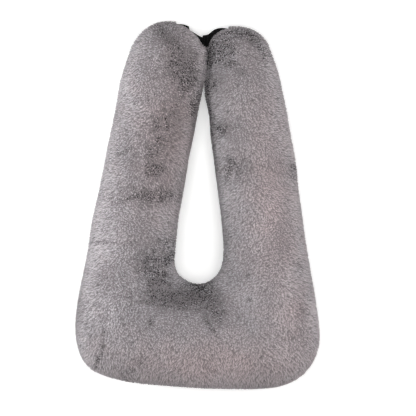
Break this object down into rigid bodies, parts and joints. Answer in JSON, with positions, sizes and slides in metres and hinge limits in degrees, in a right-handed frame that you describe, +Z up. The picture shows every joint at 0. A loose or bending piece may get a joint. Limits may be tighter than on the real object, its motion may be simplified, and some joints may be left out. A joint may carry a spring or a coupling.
{
  "type": "u-shaped travel pillow",
  "caption": "Plush U-shaped travel pillow with a broad base, long arms whose tips lean together, and a webbing strap behind the tips.",
  "frame": {"origin": "on the surface that the pillow lies on, under the middle of its length and width", "axes": "+Y from the base along the arms to their tips, +Z up out of the face, +X to the right as seen from the face"},
  "size_m": [0.412, 0.6203, 0.1325],
  "materials": {
    "plush": "short, dense, softly ruffled pile with no shine",
    "webbing": "flat woven tape with a faint sheen"
  },
  "bodies": {
    "root": {"pillow": "plush", "strap_left": "webbing", "strap_right": "webbing"}
  },
  "joints": []
}
